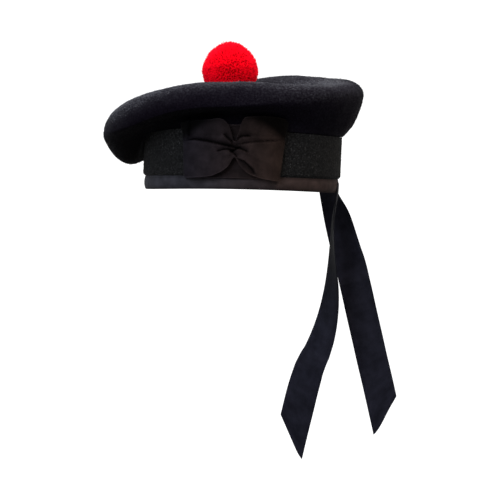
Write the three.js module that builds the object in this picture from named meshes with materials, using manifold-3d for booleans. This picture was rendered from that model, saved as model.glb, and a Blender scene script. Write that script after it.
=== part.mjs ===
// A balmoral bonnet in millimetres: a soft felted crown on a woollen headband, with a bound rim, a flat ribbon bow,
// a wool pompom and two ribbon tails. +X points to the back of the head, +Y to the wearer's right and +Z up.
// The origin is the middle of the head opening, level with the rim at the front and back.
import * as THREE from "three";
import { mergeVertices } from "three/addons/utils/BufferGeometryUtils.js";
import Module from "manifold-3d";

const wasm = await Module();
wasm.setup();

// Headband: an oval for a 57 cm head, measured over the outside of the cloth
const BAND_LENGTH = 204;
const BAND_WIDTH = 182;
const BAND_TOP = 56;
const BAND_WALL = 2.5;
const BAND_BULGE = 0.2;
const BAND_LEAN = 1.2; // how far forward the rim lies of the band's top
const RIM_ARCH = 3; // how much higher the rim lies at the sides than at the front and back
const CLEARANCE = 0.3; // between pieces that touch
const SIDES = 48; // faces round the crown, the band and the binding

// Ribbon folded over the rim
const BINDING_HEIGHT = 13.5;
const BINDING_INSET = 2.2; // the binding draws the wool in, so its face lies behind the band's
const BINDING_WALL = 1;
const TUCKED_WALL = 1.5; // the band's wool where the binding squeezes it

// Crown
const FELT = 2.5;
const CROWN_CENTRE = new THREE.Vector3(-15.2, 4, 96);
const SEAT_SHARE = 0.14; // the crown lies level under the pompom for this share of the way to its edge
const SKIRT_DEPTH = 14; // how far the crown reaches down inside the band

// One row for each 30 degrees round the crown, from the back by way of the wearer's right, front and left.
// reach: edge from the head's axis; edge: height of the edge; top: height of the rolled rim; roll: its width;
// belly: how full the cloth hangs below the edge; out, rise: the way the cloth leaves the band's top;
// lift: how much higher the band's top is pulled there
const CROWN_SECTIONS = [
  { reach: 123, edge: 101, top: 116.3, roll: 20, belly: 8, out: 15, rise: 11, lift: 1 },
  { reach: 126, edge: 102, top: 120, roll: 22, belly: 16, out: 8, rise: 12, lift: 2 },
  { reach: 132, edge: 98, top: 124, roll: 24, belly: 24, out: 9, rise: 4, lift: 4 },
  { reach: 137, edge: 84, top: 118, roll: 26, belly: 34, out: 14, rise: -13, lift: 5.5 },
  { reach: 142, edge: 66, top: 103, roll: 26, belly: 32, out: 10, rise: -36, lift: 5 },
  { reach: 145, edge: 54, top: 92, roll: 26, belly: 18, out: 3.5, rise: -52, lift: 2.5 },
  { reach: 145, edge: 56, top: 84, roll: 26, belly: 18, out: 3.5, rise: -52, lift: -1 },
  { reach: 139, edge: 61, top: 95, roll: 26, belly: 5, out: 5, rise: 0, lift: 3 },
  { reach: 128, edge: 79.5, top: 106, roll: 25, belly: 4, out: 2, rise: 17, lift: 7 },
  { reach: 120, edge: 86, top: 109, roll: 22, belly: 6, out: 2, rise: 21, lift: 6 },
  { reach: 119, edge: 93, top: 108, roll: 20, belly: 11, out: 6, rise: 14, lift: 4 },
  { reach: 121, edge: 99, top: 110, roll: 20, belly: 13, out: 10, rise: 13, lift: 2 },
];
const LIFT_START = 20; // the band's cloth is pulled up above this height
const TOP_RINGS = [0.1, 0.22, 0.4, 0.58, 0.75, 0.9]; // shares of the way from the centre to the rolled rim
const ROLL_STEPS = 4;
const ROLL_FULLNESS = 0.6; // 0.55 makes the rolled rim's section a quarter of an oval, and more makes it squarer
const UNDERSIDE_STEPS = 7;

// Pompom
const POMPOM_RADIUS = 29.1;
const POMPOM_HEIGHT = 31; // from its middle to its top
const POMPOM_POINT = 1.8; // 2 makes the ball an oval, and less makes it more pointed
const LOCK_COUNT = 52;
const LOCK_RADIUS = 7.6;
const LOCK_LENGTH = 9;
const LOCK_SIDES = 5;
const LOCK_SHOULDER = 0.22; // where a lock is widest, as a share of its length above its middle
const POMPOM_TRIM = 4; // cut off the ball where it sits on the crown

// Bow on the wearer's left: a flattened ring of wide ribbon, its front layer gathered to a twist
const RIBBON_WALL = 1;
const BOW_BACK = { gap: 0.5, top: 66.5, bottom: 12, left: -53, right: 36 };
const BOW_TWIST = -5.6;
const BOW_LEAN = 0.36; // the crown's cloth leans out above the band, and the bow leans with it
// One row for each section of the front layer, from the front end to the back end
const BOW_SECTIONS = [
  { along: -57, top: 66, bottom: 12.5, out: 2.8 },
  { along: -55, top: 67.5, bottom: 12, out: 5.4 },
  { along: -49, top: 69, bottom: 12, out: 7.4 },
  { along: -40, top: 70, bottom: 11.5, out: 8.5 },
  { along: -29, top: 71, bottom: 13, out: 9 },
  { along: -20, top: 72, bottom: 19, out: 8.5 },
  { along: -13, top: 69, bottom: 27, out: 8 },
  { along: BOW_TWIST, top: 50, bottom: 36, out: 7.5 },
  { along: 1, top: 67, bottom: 28, out: 8 },
  { along: 7, top: 74, bottom: 18, out: 8.5 },
  { along: 17, top: 75, bottom: 12, out: 9 },
  { along: 26.5, top: 74.5, bottom: 10, out: 8.5 },
  { along: 33, top: 73, bottom: 9.5, out: 7.4 },
  { along: 37.7, top: 70, bottom: 10.5, out: 5.4 },
  { along: 39.5, top: 68, bottom: 11.5, out: 2.8 },
];
const BOW_STEPS = 2;
const BOW_BACK_STEPS = 10;
// One row for each fold line across the ribbon, from its lower edge: how far it stands out on the open wing and
// in the gathers beside the twist
const BOW_FOLDS = [
  { across: 0, wing: 0, gather: 0 },
  { across: 0.14, wing: 1, gather: 1.4 },
  { across: 0.27, wing: 1.8, gather: 1.8 },
  { across: 0.36, wing: 2, gather: -1.4 },
  { across: 0.46, wing: 2.2, gather: 1.6 },
  { across: 0.57, wing: 2, gather: 2 },
  { across: 0.63, wing: -1.6, gather: -1.6 },
  { across: 0.7, wing: 0.4, gather: 1.2 },
  { across: 0.77, wing: 0.8, gather: 1.6 },
  { across: 0.84, wing: 0.8, gather: -1 },
  { across: 0.92, wing: 0.6, gather: 0.8 },
  { across: 1, wing: 0, gather: 0 },
];
const GATHER_START = 8; // how far from the twist the gathers are deepest
const GATHER_REACH = 24; // how far from the twist they run out

// Ribbon tails sewn to the back of the binding
const TAIL_WIDTH = 32;
const TAIL_CUT = { near: 40, far: 33 }; // how much longer the pointed edge is than the other
const TAIL_ROW = 25; // ribbon between two rows of the tables below
const TAIL_STEPS = 2;
const TAIL_LINES = 4;
// turn: 0 where it lies flat against the back, 90 where it faces the
// wearer's left; cup: how far its edges curve in
const TAIL_NEAR = [
  { x: 99.6, y: -4, z: 10, turn: -3, cup: 1.6 },
  { x: 98.8, y: -4, z: -4, turn: -3, cup: 1.6 },
  { x: 95.8, y: -5, z: -25, turn: 0, cup: 1.2 },
  { x: 95.2, y: -6, z: -50, turn: 5, cup: 1 },
  { x: 95.2, y: -7, z: -75, turn: 13, cup: 0.8 },
  { x: 94.8, y: -8, z: -100, turn: 25, cup: 0.6 },
  { x: 92, y: -9, z: -125, turn: 37, cup: 0.5 },
  { x: 86, y: -10, z: -150, turn: 50, cup: 0.4 },
  { x: 76, y: -10, z: -175, turn: 63, cup: 0.2 },
  { x: 68.2, y: -9, z: -200, turn: 76, cup: 0 },
  { x: 62.5, y: -8, z: -225, turn: 84, cup: 0 },
  { x: 57, y: -7, z: -250, turn: 86, cup: 0 },
  { x: 52, y: -6, z: -274, turn: 86, cup: 0 },
];
const TAIL_FAR = [
  { x: 89.7, y: 39.3, z: 10, turn: 28.7, cup: 1.6 },
  { x: 93, y: 38.8, z: -4, turn: 36, cup: 1.5 },
  { x: 100.6, y: 38, z: -25, turn: 56, cup: 1.2 },
  { x: 108, y: 36, z: -50, turn: 67, cup: 1 },
  { x: 115.8, y: 34, z: -75, turn: 77, cup: 0.8 },
  { x: 122, y: 32, z: -100, turn: 84, cup: 0.6 },
  { x: 128, y: 30, z: -125, turn: 87, cup: 0.5 },
  { x: 134.3, y: 29, z: -150, turn: 88, cup: 0.4 },
  { x: 140.5, y: 28, z: -175, turn: 88, cup: 0.3 },
  { x: 147, y: 27, z: -200, turn: 88, cup: 0.2 },
  { x: 153.4, y: 26, z: -226, turn: 88, cup: 0 },
  { x: 159.5, y: 25, z: -251, turn: 88, cup: 0 },
];

const COLOURS = {
  felt: { color: 0x16161c, roughness: 0.95, metalness: 0 },
  wool: { color: 0x161615, roughness: 1, metalness: 0 },
  ribbon: { color: 0x1c1b1f, roughness: 0.6, metalness: 0 },
  pompom: { color: 0xd8041b, roughness: 0.95, metalness: 0 },
};

const { lerp, clamp, smoothstep, degToRad } = THREE.MathUtils;

// A table column's smooth value at a fractional row number. A closed table's first row follows its last.
function smooth(rows, column, at, closed = false) {
  const i = Math.floor(at);
  const t = at - i;
  const value = (k) => rows[closed ? (k + rows.length) % rows.length : clamp(k, 0, rows.length - 1)][column];
  const [before, from, to, after] = [value(i - 1), value(i), value(i + 1), value(i + 2)];
  const leave = (to - before) / 2;
  const arrive = (after - from) / 2;
  return (
    from + t * (leave + t * (3 * (to - from) - 2 * leave - arrive + t * (leave + arrive - 2 * (to - from))))
  );
}

// A point on the headband's outer oval, moved out along the oval's normal. The rim's arch fades towards the top.
function wall(angle, outward, z) {
  const [a, b] = [BAND_LENGTH / 2, BAND_WIDTH / 2];
  const [cos, sin] = [Math.cos(angle), Math.sin(angle)];
  const normal = new THREE.Vector2(b * cos, a * sin).normalize();
  const low = clamp(1 - z / BAND_TOP, 0, 1);
  const lift = RIM_ARCH * sin * sin * low;
  return new THREE.Vector3(
    a * cos + outward * normal.x - BAND_LEAN * low,
    b * sin + outward * normal.y,
    z + lift,
  );
}

// A crown table column's value at an angle
function crownValue(column, angle) {
  return smooth(CROWN_SECTIONS, column, (angle / (2 * Math.PI)) * CROWN_SECTIONS.length, true);
}

// A point on the band or on the crown's hem, with the band's top pulled up as the table says
function bandPoint(angle, outward, z) {
  const point = wall(angle, outward, z);
  const share = clamp((z - LIFT_START) / (BAND_TOP - LIFT_START), 0, 1);
  return point.setZ(point.z + crownValue("lift", angle) * share);
}

// A closed surface through rings of points. A closed row of rings runs round; an open one is capped at both ends.
function loft(rings, closed = false) {
  const count = rings[0].length;
  const index = [];
  const at = (i, j) => (i % rings.length) * count + (j % count);
  const quad = (a, b, c, d) => index.push(a, b, c, a, c, d);
  for (let i = 0; i < rings.length - (closed ? 0 : 1); i++) {
    for (let j = 0; j < count; j++) quad(at(i, j), at(i, j + 1), at(i + 1, j + 1), at(i + 1, j));
  }
  const last = rings.length - 1;
  for (let j = 0; !closed && j < count / 2 - 1; j++) {
    quad(at(0, j), at(0, count - 1 - j), at(0, count - 2 - j), at(0, j + 1));
    quad(at(last, j), at(last, j + 1), at(last, count - 2 - j), at(last, count - 1 - j));
  }
  const points = rings.flat();
  const volume = (k) => points[index[k]].dot(points[index[k + 1]].clone().cross(points[index[k + 2]]));
  let total = 0;
  for (let k = 0; k < index.length; k += 3) total += volume(k);
  return new THREE.BufferGeometry().setFromPoints(points).setIndex(total < 0 ? index.reverse() : index);
}

// The surface normal at each point of a grid of points; a wrapped direction joins up with its own start.
function normals(grid, wrapRows, wrapColumns) {
  const step = (i, count, wrap) =>
    wrap
      ? [(i + count - 1) % count, (i + 1) % count]
      : [Math.max(i - 1, 0), Math.min(i + 1, count - 1)];
  return grid.map((row, i) =>
    row.map((_, j) => {
      const [i0, i1] = step(i, grid.length, wrapRows);
      const [j0, j1] = step(j, row.length, wrapColumns);
      const along = grid[i1][j].clone().sub(grid[i0][j]);
      const across = grid[i][j1].clone().sub(grid[i][j0]);
      return along.cross(across).normalize();
    }),
  );
}

// A sheet of cloth as a solid: half its thickness to each side of a grid of points, one row for each section.
function sheet(grid, thickness, closed = false) {
  const facing = normals(grid, closed, false);
  const side = (i, share) => grid[i].map((p, j) => p.clone().addScaledVector(facing[i][j], share * thickness));
  return loft(
    grid.map((_, i) => [...side(i, 0.5), ...side(i, -0.5).reverse()]),
    closed,
  );
}

function bezier(points, t) {
  return new THREE.CubicBezierCurve3(...points).getPoint(t);
}

// Crown: rings from the centre of the top, over the rolled edge and along the underside, to the hem inside the band
function crownRings() {
  const angles = Array.from({ length: SIDES }, (_, k) => (k / SIDES) * 2 * Math.PI);
  const lines = angles.map((angle) => {
    const value = (column) => crownValue(column, angle);
    const outward = new THREE.Vector3(Math.cos(angle), Math.sin(angle), 0);
    const upward = new THREE.Vector3(0, 0, 1);
    const edge = outward.clone().multiplyScalar(value("reach")).setZ(value("edge"));
    const rim = outward.clone().multiplyScalar(value("reach") - value("roll")).setZ(value("top"));
    const seam = bandPoint(angle, BAND_BULGE + CLEARANCE, BAND_TOP + 2 * CLEARANCE);
    const line = TOP_RINGS.map((share) => {
      const height = smoothstep(share, SEAT_SHARE, 1);
      const point = CROWN_CENTRE.clone().lerp(rim, share);
      return point.setZ(lerp(CROWN_CENTRE.z, rim.z, height));
    });
    const rollOver = [
      rim,
      rim.clone().addScaledVector(outward, ROLL_FULLNESS * value("roll")),
      edge.clone().addScaledVector(upward, ROLL_FULLNESS * (value("top") - value("edge"))),
      edge,
    ];
    for (let k = 0; k < ROLL_STEPS; k++) line.push(bezier(rollOver, k / ROLL_STEPS));
    const leaving = seam.clone().addScaledVector(outward, value("out")).addScaledVector(upward, value("rise"));
    const underside = [edge, edge.clone().addScaledVector(upward, -value("belly")), leaving, seam];
    for (let k = 0; k <= UNDERSIDE_STEPS; k++) line.push(bezier(underside, k / UNDERSIDE_STEPS));
    const inside = -BAND_WALL - CLEARANCE;
    line.push(bandPoint(angle, -BAND_WALL + 3 * CLEARANCE, BAND_TOP + 2 * CLEARANCE));
    line.push(bandPoint(angle, inside, BAND_TOP));
    line.push(bandPoint(angle, inside, BAND_TOP - SKIRT_DEPTH / 2));
    line.push(bandPoint(angle, inside, BAND_TOP - SKIRT_DEPTH));
    return line;
  });
  return lines[0].map((_, k) => lines.map((line) => line[k]));
}

function crown() {
  const outside = crownRings();
  const facing = normals(outside, false, true);
  const inside = outside.map((ring, i) => ring.map((p, j) => p.clone().addScaledVector(facing[i][j], -FELT)));
  return loft([...outside, ...inside.reverse()]);
}

// A ring of the same section all round the band's oval. Each point of the section is [outward, height].
function hoop(section) {
  const rings = Array.from({ length: SIDES }, (_, k) => {
    const angle = (k / SIDES) * 2 * Math.PI;
    return section.map(([outward, z]) => bandPoint(angle, outward, z));
  });
  return loft(rings, true);
}

function headband() {
  const tuckedFace = -BINDING_INSET - BINDING_WALL - CLEARANCE;
  const tuckedBack = tuckedFace - TUCKED_WALL;
  const foot = BINDING_WALL + CLEARANCE;
  const shoulder = BINDING_HEIGHT + CLEARANCE;
  const chamfer = 0.8;
  return hoop([
    [tuckedFace, foot],
    [tuckedFace, shoulder],
    [-chamfer, shoulder + chamfer],
    [BAND_BULGE, shoulder + 5],
    [BAND_BULGE, BAND_TOP - 12],
    [0, BAND_TOP - chamfer],
    [-chamfer, BAND_TOP],
    [-BAND_WALL + chamfer, BAND_TOP],
    [-BAND_WALL, BAND_TOP - chamfer],
    [-BAND_WALL, shoulder + 6],
    [tuckedBack, shoulder - 1],
    [tuckedBack, foot],
  ]);
}

function edgeBinding() {
  const face = -BINDING_INSET;
  const back = face - 2 * BINDING_WALL - 2 * CLEARANCE - TUCKED_WALL;
  const innerHeight = BINDING_HEIGHT - 2;
  const crease = 0.5;
  return hoop([
    [face, crease],
    [face, BINDING_HEIGHT],
    [face - BINDING_WALL, BINDING_HEIGHT],
    [face - BINDING_WALL, BINDING_WALL],
    [back + BINDING_WALL, BINDING_WALL],
    [back + BINDING_WALL, innerHeight],
    [back, innerHeight],
    [back, crease],
    [back + crease, 0],
    [face - crease, 0],
  ]);
}

// A closed three.js geometry as a solid for joining and cutting.
function solid(geometry) {
  const bare = geometry.clone();
  bare.deleteAttribute("normal");
  bare.deleteAttribute("uv");
  const merged = mergeVertices(bare, 1e-3);
  return new wasm.Manifold(
    new wasm.Mesh({
      numProp: 3,
      vertProperties: merged.attributes.position.array,
      triVerts: new Uint32Array(merged.index.array),
    }),
  );
}

function geometryOf(made) {
  const mesh = made.getMesh();
  return new THREE.BufferGeometry()
    .setAttribute("position", new THREE.BufferAttribute(mesh.vertProperties, 3))
    .setIndex(new THREE.BufferAttribute(mesh.triVerts, 1));
}

// How far the pompom's locks have their middles from its own middle, in a direction
function lockReach(way) {
  const across = Math.hypot(way.x, way.y) / POMPOM_RADIUS;
  const up = Math.abs(way.z) / POMPOM_HEIGHT;
  return (across ** POMPOM_POINT + up ** POMPOM_POINT) ** (-1 / POMPOM_POINT) - LOCK_LENGTH / 2;
}

// Pompom: locks of yarn all round a ball, trimmed level where it sits on the crown
function pompom() {
  const middle = new THREE.Vector3(0, 0, POMPOM_HEIGHT - POMPOM_TRIM);
  const core = new THREE.IcosahedronGeometry(1, 2);
  const corners = core.attributes.position;
  for (let k = 0; k < corners.count; k++) {
    const way = new THREE.Vector3().fromBufferAttribute(corners, k);
    corners.setXYZ(k, ...way.multiplyScalar(lockReach(way)).add(middle));
  }
  let ball = solid(core);
  const golden = Math.PI * (3 - Math.sqrt(5));
  const profile = [
    [0, -LOCK_LENGTH / 2],
    [LOCK_RADIUS, LOCK_SHOULDER * LOCK_LENGTH],
    [0, LOCK_LENGTH / 2],
  ].map(([r, y]) => new THREE.Vector2(r, y));
  for (let k = 0; k < LOCK_COUNT; k++) {
    const height = 1 - (2 * (k + 0.5)) / LOCK_COUNT;
    const across = Math.sqrt(1 - height * height);
    const way = new THREE.Vector3(across * Math.cos(k * golden), across * Math.sin(k * golden), height);
    const lock = new THREE.LatheGeometry(profile, LOCK_SIDES)
      .applyQuaternion(new THREE.Quaternion().setFromUnitVectors(new THREE.Vector3(0, 1, 0), way))
      .translate(...way.multiplyScalar(lockReach(way)).add(middle));
    ball = ball.add(solid(lock));
  }
  const below = new THREE.BoxGeometry(4 * POMPOM_RADIUS, 4 * POMPOM_RADIUS, POMPOM_HEIGHT);
  return geometryOf(ball.subtract(solid(below.translate(0, 0, -POMPOM_HEIGHT / 2))));
}

function bowLean(z) {
  return BOW_LEAN * Math.max(0, z - BAND_TOP);
}

// A point on the bow: where it lies along the band, how far it stands off the band and its height
function bowPoint(along, outward, z) {
  const angle = -Math.acos(clamp(along / (BAND_LENGTH / 2), -1, 1));
  return wall(angle, BAND_BULGE + outward + bowLean(z), z);
}

function bowFront(at) {
  const value = (column) => smooth(BOW_SECTIONS, column, at);
  const along = value("along");
  const fromTwist = Math.abs(along - BOW_TWIST);
  const gathered = smoothstep(fromTwist, 0, GATHER_START) * (1 - smoothstep(fromTwist, GATHER_START, GATHER_REACH));
  const open = smoothstep(fromTwist, GATHER_START, GATHER_REACH);
  return BOW_FOLDS.map((fold) => {
    const z = lerp(value("bottom"), value("top"), fold.across);
    return bowPoint(along, value("out") + open * fold.wing + gathered * fold.gather, z);
  });
}

function bowBack(share) {
  const along = lerp(BOW_BACK.right, BOW_BACK.left, share);
  const outward = BOW_BACK.gap + RIBBON_WALL / 2;
  return BOW_FOLDS.map((fold) => bowPoint(along, outward, lerp(BOW_BACK.bottom, BOW_BACK.top, fold.across)));
}

function bowRibbon() {
  const frontCount = (BOW_SECTIONS.length - 1) * BOW_STEPS;
  const front = Array.from({ length: frontCount + 1 }, (_, k) => bowFront(k / BOW_STEPS));
  const back = Array.from({ length: BOW_BACK_STEPS + 1 }, (_, k) => bowBack(k / BOW_BACK_STEPS));
  return sheet([...front, ...back], RIBBON_WALL, true);
}

// A tail: a ribbon along its table, ending in a slanting cut whose point is on the edge that pointed names
function tail(rows, pointed) {
  const stations = (rows.length - 1) * TAIL_STEPS;
  const centre = (at) => new THREE.Vector3(...["x", "y", "z"].map((column) => smooth(rows, column, at)));
  const grid = Array.from({ length: stations + 1 }, (_, i) =>
    Array.from({ length: TAIL_LINES + 1 }, (_, j) => {
      const across = j / TAIL_LINES;
      const short = pointed === "near" ? 1 - across : across;
      const at = i / TAIL_STEPS - (TAIL_CUT[pointed] / TAIL_ROW) * short * (i / stations) ** 6;
      const turn = degToRad(smooth(rows, "turn", at));
      const down = centre(at + 0.05).sub(centre(at - 0.05)).normalize();
      const width = new THREE.Vector3(Math.sin(turn), -Math.cos(turn), 0);
      width.addScaledVector(down, -width.dot(down)).normalize();
      const face = down.clone().cross(width).normalize();
      const cup = smooth(rows, "cup", at) * (2 * across - 1) ** 2;
      return centre(at)
        .addScaledVector(width, (across - 0.5) * TAIL_WIDTH)
        .addScaledVector(face, cup);
    }),
  );
  return sheet(grid, RIBBON_WALL);
}

function piece(name, geometry, look) {
  const mesh = new THREE.Mesh(geometry, new THREE.MeshStandardMaterial(look));
  mesh.name = name;
  return mesh;
}

const bonnet = new THREE.Group();
bonnet.name = "balmoral_bonnet";

const toorie = piece("pompom", pompom(), COLOURS.pompom);
toorie.position.copy(CROWN_CENTRE).add(new THREE.Vector3(0, 0, CLEARANCE));

bonnet.add(
  piece("crown", crown(), COLOURS.felt),
  piece("headband", headband(), COLOURS.wool),
  piece("edge_binding", edgeBinding(), COLOURS.ribbon),
  piece("bow_ribbon", bowRibbon(), COLOURS.ribbon),
  toorie,
  piece("tail_near", tail(TAIL_NEAR, "near"), COLOURS.ribbon),
  piece("tail_far", tail(TAIL_FAR, "far"), COLOURS.ribbon),
);

export default bonnet;
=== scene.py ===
"""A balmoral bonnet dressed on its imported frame: felted crown, woollen band, bound rim, ribbon bow,
pompom and tails.

Lengths are in millimetres until mesh_object() turns them into metres. Only the floor, the lights and the
materials are in metres from the start. +X is the back of the head, +Y the wearer's right and +Z up, with
the origin in the middle of the head opening.
"""
import math

import bpy
import numpy as np
from mathutils import Matrix, Vector, noise


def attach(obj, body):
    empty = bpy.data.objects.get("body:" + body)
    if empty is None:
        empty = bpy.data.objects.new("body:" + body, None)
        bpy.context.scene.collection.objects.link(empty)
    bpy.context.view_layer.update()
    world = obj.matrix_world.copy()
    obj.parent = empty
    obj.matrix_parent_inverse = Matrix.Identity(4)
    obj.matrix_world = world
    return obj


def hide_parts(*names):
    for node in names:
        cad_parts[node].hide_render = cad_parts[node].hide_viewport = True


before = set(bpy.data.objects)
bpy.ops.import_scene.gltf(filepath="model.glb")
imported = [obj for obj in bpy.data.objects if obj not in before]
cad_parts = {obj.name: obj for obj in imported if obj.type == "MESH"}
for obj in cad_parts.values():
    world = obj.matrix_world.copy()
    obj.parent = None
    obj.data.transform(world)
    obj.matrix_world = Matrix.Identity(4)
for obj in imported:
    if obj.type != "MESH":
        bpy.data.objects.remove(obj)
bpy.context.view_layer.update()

MM = 0.001
SEED = 7
SHARP_ANGLE = math.radians(55)
NOISE_OCTAVES = 2
random = np.random.default_rng(SEED)

# Photograph: where the rim's middle lies in it, its scale there, and how the camera stood
IMAGE_PX = 500
RIM_PX = (242.3, 190.9)
MM_PER_PX = 1.038
CAMERA_DISTANCE = 2000
CAMERA_ELEVATION = math.radians(1.0)
CAMERA_ROLL = math.radians(1.2)
SENSOR = 36

# Floor, as radius and height in metres from its flat middle out, and lamps that face LIT_PLACE, in metres
FLOOR_Z = -500
FLOOR_SIDES = 64
FLOOR_PROFILE = [(3.2, 0), (3.8, 0.05), (4.4, 0.22), (4.9, 0.55), (5.2, 1.0), (5.3, 1.6), (5.3, 4.0)]
WORLD_STRENGTH = 0.15
LIT_PLACE = (0, 0, 0.06)
LAMPS = {
    "top": {"place": (0.05, 0, 1.05), "size": 0.9, "power": 42, "colour": (1, 1, 1)},
    "left": {"place": (-0.45, -1.0, 0.5), "size": 0.7, "power": 23, "colour": (0.82, 0.88, 1)},
    "right": {"place": (0.5, -0.7, 0.9), "size": 0.7, "power": 14, "colour": (1, 0.86, 0.75)},
    "left_rim": {"place": (-0.8, 0.5, 0.62), "size": 0.6, "power": 14, "colour": (0.86, 0.94, 1)},
    "right_rim": {"place": (0.9, 0.35, 0.42), "size": 0.6, "power": 5, "colour": (1, 0.94, 0.9)},
}

# Headband and binding
BAND_LENGTH, BAND_WIDTH, BAND_TOP, BAND_WALL = 204, 182, 56, 2.5
BAND_BULGE = 0.2
BAND_LEAN = 1.2  # how far forward the rim lies of the band's top
RIM_ARCH = 3  # how much higher the rim lies at the sides than at the front and back
BAND_SIDES, BAND_ROWS = 620, 40
BAND_GRAIN = {"size": 2.2, "height": 0.35}
BAND_HAIR = {"count": 9000, "length": 1.0, "shade": 0.5}
BINDING_HEIGHT, BINDING_INSET, BINDING_WALL, TUCKED_WALL = 13.5, 2.2, 1, 1.5
BINDING_BULGE = 0.9
BINDING_BEND = 2  # below this height the ribbon turns under the rim
BINDING_TURN = [(0.4, 0.5), (1.2, 0)]  # how far in and how high it lies as it turns
BINDING_WIDTH = 30
BINDING_SIDES = 300
BINDING_EDGE_SHADE = 0.55  # painted shade along its top and bottom edges
CLEARANCE = 0.3

# Crown
FELT = 2.5
CROWN_CENTRE = np.array([-15.2, 4, 96])
SEAT_SHARE = 0.14  # it lies level under the pompom for this share of the way to its edge
SKIRT_DEPTH = 14  # how far it reaches down inside the band
LIFT_START = 20  # the band's cloth is pulled up above this height
ROLL_FULLNESS = 0.6
CROWN_SIDES = 264
DISH_ROWS, ROLL_ROWS, UNDERSIDE_ROWS, SKIRT_ROWS = 44, 22, 36, 7
SEAT_ROWS = 4  # rows in the middle of the top that stay smooth
HEM_ROWS = 6  # rows above the band where the lumps die away
BARE_ROWS = 8  # rows above the band without hairs
CROWN_LUMPS = [{"height": 1.1, "size": 42}, {"height": 0.3, "size": 9}]
FELT_SHADE = 0.73
PAINTED_LIGHT_SIDE = (-0.55, 0.08, 0.83)  # painted light: the felt's colour is paler where it faces this way
SIDE_PAINTED_LIGHT = {"turn": math.radians(320), "share": 0.62}  # painted light as well on this side of the head
DISH_SHADE = 0.8  # painted shade: the middle of the top, as a share of the shade beside its edge
PAINTED_RIM_LIGHT = {"side": (-0.75, -0.25, 0.6), "least": 0.7, "more": 1.1}  # painted rim light: hairs facing this side are palest
CROWN_HAIR = {"count": 46000, "length": 1.6}
HAIR = {"radius": 0.11, "sink": 0.3, "scatter": 0.6, "lean": 0.7}

# Bow, tails and pompom
RIBBON_WALL = 0.8
RIBBON_EDGE = 0.4  # how far the weave goes on round the ribbon's edge
# width of the painted highlight along each edge of a ribbon
SELVEDGE = 0.7
BOW_WIDTH = 64
BOW_TWIST = -7.4
BOW_LEAN = 0.36  # how far it leans out for each millimetre above the band
BOW_MIDDLE = 40
BOW_SLANT = {"front": -0.055, "back": 0.085}  # of its two ends
BOW_LUMPS = {"height": 0.5, "size": 16}
# shade: painted shade on the back layer, behind the front one
BOW_BACK = {"gap": 0.5, "top": 66.5, "bottom": 12, "left": -53, "right": 36, "shade": 0.8}
# Painted shadow of the crown on the bow: above this height at the twist, and lower beside it by these
# shares of the distance squared. Its loops are also darkened upwards with painted shade.
BOW_PAINTED_SHADOW = {"height": 76, "right": 0.0105, "left": 0.009, "shade": 0.9}
LOOP_SHADE = {"from": 54, "to": 76, "shade": 0.5}
CREASE_DEPTH = 2.5  # how far from a crease's line its painted shade reaches
CREASE_DARKEST = 0.97
TAIL_WIDTH, TAIL_ROW = 32, 25
POMPOM_RADIUS, POMPOM_HEIGHT, POMPOM_TRIM, POMPOM_POINT = 29.1, 31, 4, 1.8
POMPOM_CORE = {"reach": 0.86, "shade": 0.15}
STRAND_COUNT, STRAND_SIDES = 8800, 3
FUZZ = {"count": 7000, "radius": 0.09, "sink": 0.6, "clear": 3}


class Table:
    """Rows of numbers with named columns, read smoothly between the rows."""

    def __init__(self, columns, rows, closed=False):
        self.columns = columns.split()
        self.rows = np.array(rows, float)
        self.closed = closed

    def read(self, column, at):
        """The column's value at row numbers that may be fractions."""
        values = self.rows[:, self.columns.index(column)]
        i = np.floor(at).astype(int)
        t = at - i

        def value(k):
            return values[k % len(values) if self.closed else np.clip(k, 0, len(values) - 1)]

        before, start, end, after = value(i - 1), value(i), value(i + 1), value(i + 2)
        leave, arrive = (end - before) / 2, (after - start) / 2
        rise = end - start
        return start + t * (leave + t * (3 * rise - 2 * leave - arrive + t * (leave + arrive - 2 * rise)))


# One row for each 30 degrees round the crown, from the back by way of the wearer's right, front and left
CROWN_SECTIONS = Table("reach edge top roll belly out rise lift", [
    (123, 101, 116.3, 20, 8, 15, 11, 1),
    (126, 102, 120, 22, 16, 8, 12, 2),
    (132, 98, 124, 24, 24, 9, 4, 4),
    (137, 84, 118, 26, 34, 14, -13, 5.5),
    (142, 66, 103, 26, 32, 10, -36, 5),
    (145, 54, 92, 26, 18, 3.5, -52, 2.5),
    (145, 56, 84, 26, 18, 3.5, -52, -1),
    (139, 61, 95, 26, 5, 5, 0, 3),
    (128, 79.5, 106, 25, 4, 2, 17, 7),
    (120, 86, 109, 22, 6, 2, 21, 6),
    (119, 93, 108, 20, 11, 6, 14, 4),
    (121, 99, 110, 20, 13, 10, 13, 2),
], closed=True)

# The bow's front layer, one row for each section from its front end to its back end
BOW_SECTIONS = Table("along top bottom out", [
    (-57, 66, 13.5, 2.8),
    (-55, 67.5, 12.5, 5.4),
    (-49, 69, 12.2, 7.4),
    (-40, 70, 12.8, 8.5),
    (-29, 71, 14, 9),
    (-20, 72, 18, 8.8),
    (-13, 66, 23.8, 8.4),
    (BOW_TWIST, 49.5, 33.5, 7.5),
    (-2.5, 65, 26.6, 8.2),
    (1, 73, 22.3, 8.5),
    (7, 74.5, 16.8, 8.8),
    (17, 75, 12.8, 9),
    (26.5, 74.5, 11, 8.5),
    (33, 73, 10, 7.4),
    (37.7, 70, 10.5, 5.4),
    (39.5, 68, 11.5, 2.8),
])

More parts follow.
